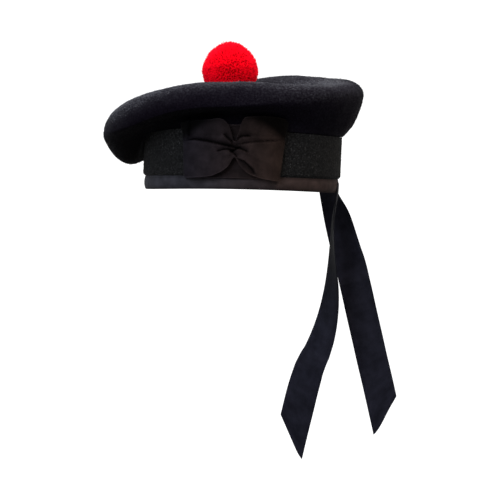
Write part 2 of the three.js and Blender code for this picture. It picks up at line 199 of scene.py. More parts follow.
# The tails, one row for each TAIL_ROW of ribbon. turn is 0 flat against the back and 90 facing the
# wearer's left, and cup is how far the edges curl.
TAIL_COLUMNS = "x y z turn cup"
TAIL_NEAR = Table(TAIL_COLUMNS, [
    (99.6, -4, 10, -3, 1.6),
    (98.8, -4, -4, -3, 1.6),
    (95.8, -5, -25, 0, 1.2),
    (95.2, -6, -50, 5, 1),
    (95.2, -7, -75, 13, 0.8),
    (94.8, -8, -100, 25, 0.6),
    (92, -9, -125, 37, 0.5),
    (86, -10, -150, 50, 0.4),
    (76, -10, -175, 63, 0.2),
    (68.2, -9, -200, 76, 0),
    (62.5, -8, -225, 84, 0),
    (57, -7, -250, 86, 0),
    (52, -6, -274, 86, 0),
])
TAIL_FAR = Table(TAIL_COLUMNS, [
    (89.7, 39.3, 10, 28.7, 1.6),
    (93, 38.8, -4, 36, 1.5),
    (100.6, 38, -25, 56, 1.2),
    (108, 36, -50, 67, 1),
    (115.8, 34, -75, 77, 0.8),
    (122, 32, -100, 84, 0.6),
    (128, 30, -125, 87, 0.5),
    (134.3, 29, -150, 88, 0.4),
    (140.5, 28, -175, 88, 0.3),
    (147, 27, -200, 88, 0.2),
    (153.4, 26, -226, 88, 0),
    (159.5, 25, -251, 88, 0),
])

# cut: how much shorter each edge is; creases: (place along the ribbon, how far it stands out, how far that
# spreads); painted shade up top: (height where it begins to lift, height where it is gone, its shade above)
TAILS = {
    "tail_near": {"table": TAIL_NEAR, "cut": (40, 0), "creases": [(190, -2, 9), (208, 1.6, 8)],
                  "painted_lighting": (-60, -170, 0.35)},
    "tail_far": {"table": TAIL_FAR, "cut": (0, 33), "creases": [(88, 1.6, 9), (119, 2.2, 9), (182, 1.2, 9)],
                 "painted_lighting": (30, -90, 0.65)},
}

# Sections of one strand of the pompom's yarn. reach is a share of the way to its tip, and shade paints
# shade, darker towards the root.
STRAND_SECTIONS = [
    {"reach": 0.78, "radius": 0.6, "shade": -0.2},
    {"reach": 0.93, "radius": 0.62, "shade": 0.0},
    {"reach": 1.0, "radius": 0.22, "shade": 0.05},
]


def smoothstep(low, high, x):
    t = np.clip((x - low) / (high - low), 0, 1)
    return t * t * (3 - 2 * t)


def unit(v):
    return v / np.maximum(np.linalg.norm(v, axis=-1, keepdims=True), 1e-9)


def circle(sides):
    """Angles evenly round a circle."""
    return np.arange(sides) / sides * 2 * math.pi


def ring_faces(rings, sides):
    """Faces between rings of points that follow each other."""
    faces = []
    for i in range(rings - 1):
        for j in range(sides):
            a, b = i * sides + j, i * sides + (j + 1) % sides
            faces.append((a, a + sides, b + sides, b))
    return faces


def wall(angle, outward, z):
    """Points on the band's outer oval, moved out along its normal. The rim's arch and lean fade upwards."""
    angle, outward, z = np.broadcast_arrays(np.asarray(angle, float), outward, z)
    a, b = BAND_LENGTH / 2, BAND_WIDTH / 2
    normal = unit(np.stack([b * np.cos(angle), a * np.sin(angle)], axis=-1))
    low = np.clip(1 - z / BAND_TOP, 0, 1)
    x = a * np.cos(angle) + outward * normal[..., 0] - BAND_LEAN * low
    y = b * np.sin(angle) + outward * normal[..., 1]
    return np.stack([x, y, z + RIM_ARCH * np.sin(angle) ** 2 * low], axis=-1)


def crown_value(column, angle):
    return CROWN_SECTIONS.read(column, np.asarray(angle, float) / (2 * math.pi) * len(CROWN_SECTIONS.rows))


def band_point(angle, outward, z):
    """Points on the band or on the crown's hem, with the band's top pulled up as the crown's table says."""
    point = wall(angle, outward, z)
    share = np.clip((z - LIFT_START) / (BAND_TOP - LIFT_START), 0, 1)
    point[..., 2] += crown_value("lift", angle) * share
    return point


def bezier(p0, p1, p2, p3, t):
    t = np.asarray(t)[:, None, None]
    return (1 - t) ** 3 * p0 + 3 * (1 - t) ** 2 * t * p1 + 3 * (1 - t) * t * t * p2 + t ** 3 * p3


def slope(grid, axis, wrap):
    """The way from each point's neighbour before it to the one after it."""
    if wrap:
        return np.roll(grid, -1, axis) - np.roll(grid, 1, axis)
    return np.gradient(grid, axis=axis)


def normals(grid, wrap_rows=False, wrap_columns=False):
    return unit(np.cross(slope(grid, 0, wrap_rows), slope(grid, 1, wrap_columns)))


def rough(points, size):
    """Smooth noise from -1 to 1 at each point, with features of the given size."""
    flat = points.reshape(-1, 3) / size
    values = [noise.fractal(Vector(p), 1.0, 2.0, NOISE_OCTAVES) for p in flat]
    return np.array(values).reshape(points.shape[:-1])


def mesh_object(name, points, faces, material, uv=None, shade=None):
    """A smooth-shaded mesh from points in millimetres, riding on the bonnet. shade has a value for each
    point, and uv a place on the cloth for each corner."""
    mesh = bpy.data.meshes.new(name)
    mesh.from_pydata((points * MM).tolist(), [], faces)
    if uv is not None:
        layer = mesh.uv_layers.new(name="cloth")
        layer.data.foreach_set("uv", (uv * MM).ravel())
    if shade is not None:
        mesh.attributes.new("shade", "FLOAT", "POINT").data.foreach_set("value", shade.ravel())
    mesh.materials.append(material)
    mesh.shade_smooth()
    mesh.set_sharp_from_angle(angle=SHARP_ANGLE)
    made = bpy.data.objects.new(name, mesh)
    bpy.context.scene.collection.objects.link(made)
    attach(made, "root")
    return made


def loft_object(name, rings, material, closed=False, uv=None, shade=None):
    """A closed skin through rings of points: round and round if closed, and otherwise capped at both ends.

    uv gives each ring's own places along and across the cloth, as an array of rings by points by 2."""
    count, size = rings.shape[:2]
    i, j = np.meshgrid(np.arange(count if closed else count - 1), np.arange(size), indexing="ij")
    corners = [(i, j), (i, j + 1), (i + 1, j + 1), (i + 1, j)]
    index = np.stack([(a % count) * size + b % size for a, b in corners], axis=-1).reshape(-1, 4)
    places = None
    if uv is not None:
        places = np.stack([uv[a, b] for a, b in corners], axis=2).reshape(-1, 2)
    points = rings.reshape(-1, 3)
    a, b, c, d = (points[index[:, k]] for k in range(4))
    volume = (a * np.cross(b, c)).sum() + (a * np.cross(c, d)).sum()
    faces = index.tolist()
    if not closed:
        faces += [list(range(size))[::-1], list(range((count - 1) * size, count * size))]
        if places is not None:
            places = np.concatenate([places, uv[0, size - 1::-1], uv[-1, :size]])
    if volume < 0:
        faces = [f[::-1] for f in faces]
        places = None if places is None else flip_corners(places, faces)
    return mesh_object(name, points, faces, material, places, shade)


def flip_corners(places, faces):
    """The corner values of faces whose corners were each put in reverse order."""
    out, start = [], 0
    for face in faces:
        out.append(places[start:start + len(face)][::-1])
        start += len(face)
    return np.concatenate(out)


def sheet_rings(grid, thickness, wrap_rows=False):
    """Rings round each row of a grid of points, half the cloth's thickness to each side of it."""
    facing = normals(grid, wrap_rows) * thickness / 2
    start = unit(grid[:, 0] - grid[:, 1]) * thickness / 2
    end = unit(grid[:, -1] - grid[:, -2]) * thickness / 2
    front, back = grid + facing, (grid - facing)[:, ::-1]
    last, first = (grid[:, -1] + end)[:, None], (grid[:, 0] + start)[:, None]
    return np.concatenate([front, last, back, first], axis=1)


def sheet_uv(along, across):
    """Places on the cloth for the rings of sheet_rings(), in millimetres along and across it."""
    last, first = across[-1:] + RIBBON_EDGE, across[:1] - RIBBON_EDGE
    line = np.concatenate([across, last, across[::-1], first, across[:1]])
    return np.stack(np.meshgrid(along, line, indexing="ij"), axis=-1)


# Materials


class Shader:
    """A material and its node tree, with short ways to add and join nodes."""

    def __init__(self, name, **sockets):
        self.material = bpy.data.materials.new(name)
        self.material.use_nodes = True
        self.tree = self.material.node_tree
        self.surface = self.tree.nodes["Principled BSDF"]
        self.put(self.surface, sockets)

    def put(self, node, sockets):
        for name, value in sockets.items():
            socket = node.inputs[name.replace("_", " ")]
            if isinstance(value, bpy.types.NodeSocket):
                self.tree.links.new(value, socket)
            else:
                socket.default_value = value

    def add(self, kind, **sockets):
        node = self.tree.nodes.new("ShaderNode" + kind)
        self.put(node, sockets)
        return node

    def ramp(self, fac, *stops):
        """A colour ramp through (position, colour) stops."""
        node = self.add("ValToRGB", Fac=fac)
        ramp = node.color_ramp
        while len(ramp.elements) < len(stops):
            ramp.elements.new(0.5)
        for element, (position, colour) in zip(ramp.elements, stops):
            element.position = position
            element.color = (*colour, 1)
        return node.outputs["Color"]

    def mix(self, fac, a, b):
        node = self.add("Mix")
        node.data_type = "RGBA"
        self.tree.links.new(fac, node.inputs[0])
        for socket, value in ((node.inputs[6], a), (node.inputs[7], b)):
            if isinstance(value, bpy.types.NodeSocket):
                self.tree.links.new(value, socket)
            else:
                socket.default_value = (*value, 1)
        return node.outputs[2]

    def times(self, a, b):
        """Two colours multiplied."""
        node = self.add("VectorMath")
        node.operation = "MULTIPLY"
        self.tree.links.new(a, node.inputs[0])
        self.tree.links.new(b, node.inputs[1])
        return node.outputs[0]

    def shade(self):
        """The mesh's own shade at each point."""
        node = self.add("Attribute")
        node.attribute_name = "shade"
        return node.outputs["Fac"]

    def vary(self, value, texture, amount):
        """A value that a texture makes up to half the amount more or less, as a share of itself."""
        share = self.add("MapRange", Value=texture, From_Min=0.35, From_Max=0.65)
        share.inputs["To Min"].default_value = 1 - amount / 2
        share.inputs["To Max"].default_value = 1 + amount / 2
        node = self.add("Math")
        node.operation = "MULTIPLY"
        self.tree.links.new(value, node.inputs[0])
        self.tree.links.new(share.outputs["Result"], node.inputs[1])
        return node.outputs[0]

    def bump(self, height, strength, distance_mm):
        node = self.add("Bump", Height=height, Strength=strength, Distance=distance_mm * MM)
        return node.outputs["Normal"]


def felt(name, palest):
    """Felted wool, blue-black with a short nap, coloured by painted light and shade."""
    s = Shader(name, Roughness=0.9, Specular_IOR_Level=0.01, Sheen_Weight=0.01, Sheen_Roughness=0.2,
               Sheen_Tint=(0.9, 0.9, 1, 1))
    place = s.add("TexCoord").outputs["Object"]
    cloud = s.add("TexNoise", Vector=place, Scale=60, Detail=3).outputs["Fac"]
    nap = s.add("TexNoise", Vector=place, Scale=520, Detail=3, Roughness=0.7).outputs["Fac"]
    shade = s.vary(s.vary(s.shade(), cloud, 0.2), nap, 0.9)
    s.put(s.surface, {"Base_Color": s.ramp(
        shade,
        (0.0, (0.0003, 0.0002, 0.0004)),
        (0.2, (0.0014, 0.0010, 0.0020)),
        (0.3, (0.0021, 0.0017, 0.0028)),
        (0.4, (0.0032, 0.0028, 0.0041)),
        (0.5, (0.0050, 0.0047, 0.0062)),
        (0.6, (0.0080, 0.0078, 0.0097)),
        (0.7, (0.0120, 0.0120, 0.0144)),
        (1.0, palest),
    )})
    s.put(s.surface, {"Normal": s.bump(nap, 0.7, 0.8)})
    return s.material


def wool():
    """Coarse woollen cloth: grains of grey-black yarn with a few pale flecks."""
    s = Shader("band_wool", Roughness=0.9, Specular_IOR_Level=0.02, Sheen_Weight=0.006,
               Sheen_Roughness=0.4)
    place = s.add("TexCoord").outputs["Object"]
    grain = s.add("TexVoronoi", Vector=place, Scale=520, Randomness=1.0).outputs["Distance"]
    fleck = s.add("TexNoise", Vector=place, Scale=620, Detail=2).outputs["Fac"]
    yarn = s.ramp(grain, (0.1, (0.0068, 0.0068, 0.0067)), (0.7, (0.0025, 0.0025, 0.0025)))
    pale = s.ramp(fleck, (0.6, (0, 0, 0)), (0.74, (1, 1, 1)))
    s.put(s.surface, {"Base_Color": s.mix(pale, yarn, (0.021, 0.021, 0.0205))})
    s.put(s.surface, {"Normal": s.bump(grain, 0.8, 0.7)})
    return s.material


def ribbon(name, width, front, back, edge_highlight):
    """Ribbed ribbon: fine ribs across its length, cloudy wear, and a painted highlight along its edges.
    Painted light makes it cool at the front and warm at the back, and painted shade darkens it in places."""
    s = Shader(name, Roughness=0.65, Specular_IOR_Level=0.01, Sheen_Weight=0.002, Sheen_Roughness=0.35)
    coordinates = s.add("TexCoord").outputs
    place = coordinates["UV"]
    ribs = s.add("TexWave", Vector=place, Scale=340, Distortion=0.4, Detail=1).outputs["Fac"]
    wear = s.add("TexNoise", Vector=place, Scale=75, Detail=4, Roughness=0.6).outputs["Fac"]
    # Painted light: cool towards the front of the bonnet and warm towards the back.
    backward = s.add("SeparateXYZ", Vector=coordinates["Object"]).outputs["X"]
    painted_lighting = s.add("MapRange", Value=backward, From_Min=-0.06, From_Max=0.05).outputs["Result"]
    cloth = s.mix(painted_lighting, front, back)
    # The shade attribute carries painted shade, mottled by the wear.
    painted_shade = s.vary(s.shade(), wear, 0.6)
    across = s.add("SeparateXYZ", Vector=place).outputs["Y"]
    share = s.add("MapRange", Value=across, From_Min=0.0, From_Max=width * MM).outputs["Result"]
    # Painted highlight: the ribbon's edges are made paler.
    edge = SELVEDGE / width
    pale, plain = (edge_highlight,) * 3, (1, 1, 1)
    edges = s.ramp(share, (0, pale), (edge, plain), (1 - edge, plain), (1, pale))
    s.put(s.surface, {"Base_Color": s.times(s.times(cloth, painted_shade), edges)})
    s.put(s.surface, {"Normal": s.bump(ribs, 0.3, 0.2)})
    return s.material


def yarn():
    """Cut red wool: each strand's shade varies at random, with painted shade at its root and by height."""
    s = Shader("pompom_wool", Roughness=0.9, Specular_IOR_Level=0.0, Sheen_Weight=0.02,
               Sheen_Tint=(1, 0.3, 0.7, 1))
    s.put(s.surface, {"Base_Color": s.ramp(
        s.shade(),
        (0.0, (0.25, 0.0004, 0.002)),
        (0.5, (0.45, 0.0005, 0.004)),
        (1.0, (0.66, 0.0012, 0.009)),
    )})
    return s.material


# Pieces


def crown_grid():
    """The crown's outside: rows from the middle of the top, over the rolled edge and underneath, to its
    hem, and how many of them lie outside the band."""
    angle = circle(CROWN_SIDES)
    reach, edge_z, top, roll, belly, out, rise, _ = (
        crown_value(column, angle)[:, None] for column in CROWN_SECTIONS.columns
    )
    outward = np.stack([np.cos(angle), np.sin(angle), 0 * angle], axis=-1)
    upward = np.array([0, 0, 1.0])
    edge = outward * reach + upward * edge_z
    rim = outward * (reach - roll) + upward * top
    seam = band_point(angle, BAND_BULGE + CLEARANCE, BAND_TOP + 2 * CLEARANCE)
    share = np.linspace(0.02, 1, DISH_ROWS, endpoint=False)[:, None, None]
    dish = CROWN_CENTRE + (rim - CROWN_CENTRE) * share
    climb = smoothstep(SEAT_SHARE, 1, share[..., 0])
    dish[..., 2] = CROWN_CENTRE[2] + (rim - CROWN_CENTRE)[..., 2] * climb
    shoulder = edge + upward * ROLL_FULLNESS * (top - edge_z)
    over = bezier(rim, rim + outward * ROLL_FULLNESS * roll, shoulder, edge,
                  np.linspace(0, 1, ROLL_ROWS, endpoint=False))
    leaving = seam + outward * out + upward * rise
    under = bezier(edge, edge - upward * belly, leaving, seam, np.linspace(0, 1, UNDERSIDE_ROWS))
    inside = -BAND_WALL - CLEARANCE
    tuck = [band_point(angle, -BAND_WALL + 3 * CLEARANCE, BAND_TOP + 2 * CLEARANCE)]
    for depth in np.linspace(0, SKIRT_DEPTH, SKIRT_ROWS):
        tuck.append(band_point(angle, inside, BAND_TOP - depth))
    return np.concatenate([dish, over, under, np.array(tuck)]), len(dish) + len(over) + len(under)


def make_crown(material):
    """The crown. Gives back its outer face for the hairs: points, the way each faces, and their shades."""
    grid, free_rows = crown_grid()
    facing = normals(grid, wrap_columns=True)
    loose = np.ones(len(grid))
    loose[free_rows - HEM_ROWS:free_rows] = np.linspace(0.8, 0, HEM_ROWS)
    loose[free_rows:] = 0
    loose[:SEAT_ROWS] = 0
    lumps = sum(lump["height"] * rough(grid, lump["size"]) for lump in CROWN_LUMPS)
    grid = grid + facing * (lumps * loose[:, None])[..., None]
    facing = normals(grid, wrap_columns=True)
    inner = (grid - facing * FELT)[::-1]
    facing = facing * np.sign(facing[0, 0, 2])
    # Painted light and shade: the felt's colour is paler where it faces the upper front, and on one side of
    # the head, darker in the middle of the top, and darkest on the inside.
    lit = np.clip(facing @ unit(np.array(PAINTED_LIGHT_SIDE)), 0, 1)
    painted_shade = np.ones(len(grid))
    painted_shade[:DISH_ROWS] = DISH_SHADE + (1 - DISH_SHADE) * smoothstep(0.7, 1, np.linspace(0, 1, DISH_ROWS))
    toward_side = 0.5 + 0.5 * np.cos(circle(CROWN_SIDES) - SIDE_PAINTED_LIGHT["turn"])
    pale = SIDE_PAINTED_LIGHT["share"] * toward_side ** 2 * np.clip(1 + 0.7 * facing[..., 2], 0, 1)
    shade = FELT_SHADE * np.hypot(lit ** 1.5 * painted_shade[:, None], pale)
    rings, shades = np.concatenate([grid, inner]), np.concatenate([shade, 0 * shade])
    crown = loft_object("crown_felt", rings, material, shade=shades)
    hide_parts("crown")
    # Painted rim light: hairs facing the upper front and the wearer's left are paler.
    rim_facing = np.clip(facing @ unit(np.array(PAINTED_RIM_LIGHT["side"])), 0, 1) ** 3
    rim_light = PAINTED_RIM_LIGHT["least"] + PAINTED_RIM_LIGHT["more"] * rim_facing
    haired = slice(free_rows - BARE_ROWS)
    return grid[haired], facing[haired], (shade * rim_light)[haired]


def make_headband(material):
    """The band. Gives back its outer face for the hairs, as make_crown() does."""
    tucked = -BINDING_INSET - BINDING_WALL - CLEARANCE - TUCKED_WALL / 2
    height = np.linspace(BINDING_WALL + CLEARANCE, BAND_TOP, BAND_ROWS)
    drawn_in = 1 - smoothstep(BINDING_HEIGHT - 1, BINDING_HEIGHT + 3, height)
    middle = -BAND_WALL / 2 + (tucked + BAND_WALL / 2) * drawn_in
    half = BAND_WALL / 2 + (TUCKED_WALL - BAND_WALL) / 2 * drawn_in
    around = circle(BAND_SIDES)[:, None]
    grain = rough(band_point(around, 0, height[None]), BAND_GRAIN["size"])
    outward = (middle + half)[None] + BAND_GRAIN["height"] * grain * (1 - drawn_in)
    face = band_point(around, outward, height[None])
    back = band_point(around, (middle - half)[None], height[None])[:, ::-1]
    rings = np.concatenate([face, back], axis=1)
    band = loft_object("headband_wool", rings, material, closed=True)
    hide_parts("headband")
    return face, normals(face, wrap_rows=True), np.full(face.shape[:2], BAND_HAIR["shade"])


def make_binding(material):
    """The ribbon round the rim, whose section goes down the outside, under the rim and up the inside."""
    face = -BINDING_INSET - BINDING_WALL / 2
    back = face - BINDING_WALL - 2 * CLEARANCE - TUCKED_WALL
    bottom = BINDING_WALL / 2
    section = []
    for t in np.linspace(0, 1, 14):
        bulge = BINDING_BULGE * math.sin(math.pi * t)
        section.append((face + bulge, BINDING_HEIGHT + (BINDING_BEND - BINDING_HEIGHT) * t))
    section += [(face - inward, bottom + up) for inward, up in BINDING_TURN]
    section += [(back + inward, bottom + up) for inward, up in reversed(BINDING_TURN)]
    section += [(back, z) for z in np.linspace(BINDING_BEND, BINDING_HEIGHT - 2, 8)]
    outward, z = np.array(section).T
    grid = band_point(circle(BINDING_SIDES)[:, None], outward[None], z[None])
    across = np.concatenate([[0], np.cumsum(np.hypot(np.diff(outward), np.diff(z)))])
    along = np.arange(BINDING_SIDES + 1) / BINDING_SIDES * math.pi * (BAND_LENGTH + BAND_WIDTH) / 2
    rings = sheet_rings(grid, BINDING_WALL, wrap_rows=True)
    # Painted shade along the binding's top and bottom edges.
    low = rings[..., 2] - RIM_ARCH * (rings[..., 1] / (BAND_WIDTH / 2)) ** 2
    inner = smoothstep(0.5, 5, low) * smoothstep(BINDING_HEIGHT + 0.5, BINDING_HEIGHT - 4, low)
    shade = BINDING_EDGE_SHADE + (1 - BINDING_EDGE_SHADE) * inner
    binding = loft_object("binding_ribbon", rings, material, closed=True,
                          uv=sheet_uv(along, across), shade=shade)
    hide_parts("edge_binding")


def bow_point(along, outward, z):
    """Points on the bow, which leans out above the band with the crown's cloth."""
    angle = -np.arccos(np.clip(along / (BAND_LENGTH / 2), -1, 1))
    return wall(angle, BAND_BULGE + outward + BOW_LEAN * np.maximum(0, z - BAND_TOP), z)


# Creases in the bow's front, as lines of places along the band and up it. lip and dip: how far the cloth
# stands out on the right of the line and falls in on its left; right and left: how far from the line they
# fade; depth: how far its painted shade reaches, where that isn't CREASE_DEPTH
BOW_CREASES = [
    {"line": [(-57, 49.5), (-44, 50.6), (-32.6, 48.9), (-19.7, 45.9), (-6.7, 42.9), (3, 39)],
     "lip": 1.8, "dip": 6.0, "right": 11, "left": 3.4},
    {"line": [(-24, 38), (-17, 40.8), (-13.5, 40.9), (-8, 38.4)],
     "lip": 1.2, "dip": 3.4, "right": 6, "left": 2.2},
    {"line": [(-19, 57.5), (-12.8, 51.2), (-8.5, 47.6)],
     "lip": 1.4, "dip": 3.4, "right": 7, "left": 2.6},
    {"line": [(-7.5, 49.6), (-0.5, 54.8), (9, 55)],
     "lip": 1.4, "dip": 3.6, "right": 6, "left": 2.6},
    {"line": [(-7, 45.4), (0.6, 47.3), (12.7, 49.4), (37, 51)],
     "lip": 2.2, "dip": 2.4, "right": 10, "left": 6},
    {"line": [(-3.5, 43.2), (5.5, 38)],
     "lip": 1.0, "dip": 2.6, "right": 4, "left": 2.2},
    {"line": [(-11.5, 37), (-6, 40.6), (0, 45.2)],
     "lip": 0.8, "dip": 3.2, "right": 4, "left": 2.2},
    {"line": [(-12, 40.4), (-8, 37), (-4.4, 32.6)],
     "lip": 0.8, "dip": 3.0, "right": 3, "left": 2.0},
    {"line": [(14, 14), (10.6, 21.8), (2.3, 30.2), (-6.2, 33.4)],
     "lip": 1.0, "dip": 3.0, "right": 8, "left": 6, "depth": 4.5},
    {"line": [(-46, 72), (-49.2, 59.7), (-52, 50.4)],
     "lip": 0.6, "dip": 2.0, "right": 4, "left": 3},
]


def fold(crease, x, z):
    """How far one crease moves the cloth out at each place, sharp on its line and fading to both sides, and
    how much painted shade darkens each place in the crease."""
    line = np.array(crease["line"], float)
    nearest = np.full(x.shape, np.inf)
    left, along, passed = np.zeros(x.shape), np.zeros(x.shape), 0
    for start, end in zip(line[:-1], line[1:]):
        way = end - start
        length = np.linalg.norm(way)
        t = np.clip(((x - start[0]) * way[0] + (z - start[1]) * way[1]) / length ** 2, 0, 1)
        dx, dz = x - start[0] - t * way[0], z - start[1] - t * way[1]
        away = np.hypot(dx, dz)
        closer = away < nearest
        left = np.where(closer, away * np.sign(way[0] * dz - way[1] * dx), left)
        along = np.where(closer, passed + t * length, along)
        nearest = np.minimum(nearest, away)
        passed += length
    lip = crease["lip"] * np.exp(-nearest / crease["right"])
    dip = crease["dip"] * np.exp(-nearest / crease["left"])
    side = smoothstep(-0.6, 0.6, left)
    fade = smoothstep(0, 0.2 * passed, along) * (1 - smoothstep(0.75 * passed, passed, along))
    height = (lip * (1 - side) - dip * side) * (0.15 + 0.85 * fade)
    near = np.exp(-nearest / crease.get("depth", CREASE_DEPTH))
    painted_crease_shade = smoothstep(0.8, 3, crease["dip"]) * fade * near * smoothstep(-1.2, 0.6, left)
    return height, painted_crease_shade


def make_bow(material):
    """The bow: a front layer with its creases, joined at both ends to a plain back layer."""
    steps, back_steps, lines = 9, 40, 72
    at = np.arange((len(BOW_SECTIONS.rows) - 1) * steps + 1) / steps
    along, top, bottom, out = (BOW_SECTIONS.read(column, at)[:, None] for column in BOW_SECTIONS.columns)
    across = np.linspace(0, 1, lines)[None]
    z = bottom + (top - bottom) * across
    x = along + 0 * z
    folds, painted_crease_shade = sum(np.array(fold(crease, x, z)) for crease in BOW_CREASES)
    folds = folds + BOW_LUMPS["height"] * rough(np.stack([x, z, 0 * x], axis=-1), BOW_LUMPS["size"])
    ends = smoothstep(0, 5, np.minimum(x - x[0, 0], x[-1, 0] - x))
    slant = BOW_SLANT["back"] * smoothstep(15, 40, x) + BOW_SLANT["front"] * smoothstep(-15, -57, x)
    least = BOW_BACK["gap"] + 2 * RIBBON_WALL
    front = bow_point(x + (z - BOW_MIDDLE) * slant, np.maximum(out + folds * ends, least), z)
    share = np.linspace(0, 1, back_steps)[:, None]
    back_x = BOW_BACK["right"] + (BOW_BACK["left"] - BOW_BACK["right"]) * share + 0 * across
    back_z = BOW_BACK["bottom"] + (BOW_BACK["top"] - BOW_BACK["bottom"]) * (across + 0 * share)
    back = bow_point(back_x, BOW_BACK["gap"] + RIBBON_WALL / 2, back_z)
    grid = np.concatenate([front, back])
    middle = grid[:, lines // 2]
    path = np.concatenate([[0], np.cumsum(np.linalg.norm(np.diff(middle, axis=0), axis=1))])
    path = np.append(path, path[-1] + np.linalg.norm(middle[0] - middle[-1]))
    rings = sheet_rings(grid, RIBBON_WALL, wrap_rows=True)
    uv = sheet_uv(path, np.linspace(0, BOW_WIDTH, lines))
    # Painted shade: the crown's shadow on the bow's top, loops darker upwards, shade in the creases and a
    # darker back layer.
    beside = rings[..., 0] - BOW_TWIST
    droop = np.where(beside > 0, BOW_PAINTED_SHADOW["right"], BOW_PAINTED_SHADOW["left"]) * beside ** 2
    above = rings[..., 2] - BOW_PAINTED_SHADOW["height"] + droop
    shade = 1 - BOW_PAINTED_SHADOW["shade"] * smoothstep(-7, 5, above)
    shade *= 1 - LOOP_SHADE["shade"] * smoothstep(LOOP_SHADE["from"], LOOP_SHADE["to"], rings[..., 2])
    painted_crease_shade = np.clip(painted_crease_shade, 0, CREASE_DARKEST)
    painted_crease_shade = np.concatenate([painted_crease_shade, painted_crease_shade[:, -1:], painted_crease_shade[:, ::-1], painted_crease_shade[:, :1]], axis=1)
    shade[:len(front)] *= 1 - painted_crease_shade
    shade[len(front):] *= BOW_BACK["shade"]
    bow = loft_object("bow_ribbon_cloth", rings, material, closed=True,
                      uv=uv, shade=shade)
    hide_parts("bow_ribbon")


def make_tail(node, tail, material):
    """A hanging ribbon with a slanted end."""
    steps, lines = 12, 13
    table = tail["table"]
    rows = len(table.rows) - 1
    across = np.linspace(0, 1, lines)[None]
    short = tail["cut"][0] * (1 - across) + tail["cut"][1] * across
    share = np.arange(rows * steps + 1)[:, None] / (rows * steps)
    at = share * rows - short / TAIL_ROW * share ** 6

    def centre(at):
        return np.stack([table.read(column, at) for column in "xyz"], axis=-1)

    turn = np.radians(table.read("turn", at))
    down = unit(centre(at + 0.05) - centre(at - 0.05))
    width = np.stack([np.sin(turn), -np.cos(turn), 0 * turn], axis=-1)
    width = unit(width - down * (width * down).sum(axis=-1, keepdims=True))
    face = unit(np.cross(down, width))
    length = at * TAIL_ROW
    bend = sum(out * np.exp(-np.abs(length - place) / spread) for place, out, spread in tail["creases"])
    curl = table.read("cup", at) * (2 * across - 1) ** 2
    sideways = ((across - 0.5) * TAIL_WIDTH)[..., None]
    grid = centre(at) + width * sideways + face * (curl + bend)[..., None]
    rings = sheet_rings(grid, RIBBON_WALL)
    full_length = rows * TAIL_ROW
    uv = sheet_uv(share[:, 0] * full_length, across[0] * TAIL_WIDTH)
    # Painted shade over the upper part of the ribbon.
    begins, ends, above = tail["painted_lighting"]
    shade = above + (1 - above) * smoothstep(begins, ends, rings[..., 2])
    cloth = loft_object(node + "_ribbon", rings, material, uv=uv, shade=shade)
    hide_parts(node)


def spikes(name, roots, ways, lengths, radius, material, shade):
    """Fine hairs: a slim closed three-sided spike at each root."""
    side = unit(np.cross(ways, random.normal(size=ways.shape)))
    third = np.cross(ways, side)
    base = [roots + radius * (math.cos(a) * side + math.sin(a) * third) for a in circle(3)]
    points = np.stack([*base, roots + ways * lengths[:, None]], axis=1).reshape(-1, 3)
    faces = np.array([(0, 1, 3), (1, 2, 3), (2, 0, 3), (0, 2, 1)])
    index = (np.arange(len(roots))[:, None, None] * 4 + faces[None]).reshape(-1, 3)
    mesh_object(name, points, index.tolist(), material, shade=np.repeat(shade, 4))


def make_nap(name, grid, facing, shade, hair, material, slot):
    """Short hairs standing all over a cloth's face, leaning every way."""
    count = hair["count"]
    middle = (grid[1:] + grid[:-1]) / 2
    area = np.linalg.norm(np.cross(slope(grid, 0, False), slope(grid, 1, False)), axis=-1)[:-1].ravel()
    pick = random.choice(area.size, count, p=area / area.sum())
    jitter = random.normal(scale=HAIR["scatter"], size=(count, 3))
    normal = facing[:-1].reshape(-1, 3)[pick]
    jitter -= normal * (jitter * normal).sum(axis=1, keepdims=True)
    roots = middle.reshape(-1, 3)[pick] + jitter - normal * HAIR["sink"]
    ways = unit(normal + random.normal(scale=HAIR["lean"], size=(count, 3)))
    ways = np.where((ways * normal).sum(axis=1, keepdims=True) < 0.15, unit(ways + normal), ways)
    lengths = hair["length"] * random.uniform(0.5, 1.2, count)
    # The hairs take the cloth's shade, which on the crown paints light and shade, each varied at random.
    shade = shade[:-1].ravel()[pick] * random.uniform(0.6, 1.3, count)
    spikes(name, roots, ways, lengths, HAIR["radius"], material, shade)


def pompom_reach(way):
    """How far the pompom's skin is from its middle, in each direction."""
    across = np.hypot(way[..., 0], way[..., 1]) / POMPOM_RADIUS
    up = np.abs(way[..., 2]) / POMPOM_HEIGHT
    return (across ** POMPOM_POINT + up ** POMPOM_POINT) ** (-1 / POMPOM_POINT)


def pompom_core(middle, rows=24, sides=48):
    """Points and faces of the wool's solid heart, which closes the gaps between the strands."""
    up, turn = np.meshgrid(np.linspace(0.02, 0.98, rows) * math.pi, circle(sides), indexing="ij")
    way = np.stack([np.sin(up) * np.cos(turn), np.sin(up) * np.sin(turn), np.cos(up)], axis=-1)
    points = (middle + way * (POMPOM_CORE["reach"] * pompom_reach(way))[..., None]).reshape(-1, 3)
    caps = [tuple(range(sides)), tuple(range((rows - 1) * sides, rows * sides))[::-1]]
    return points, caps + ring_faces(rows, sides)


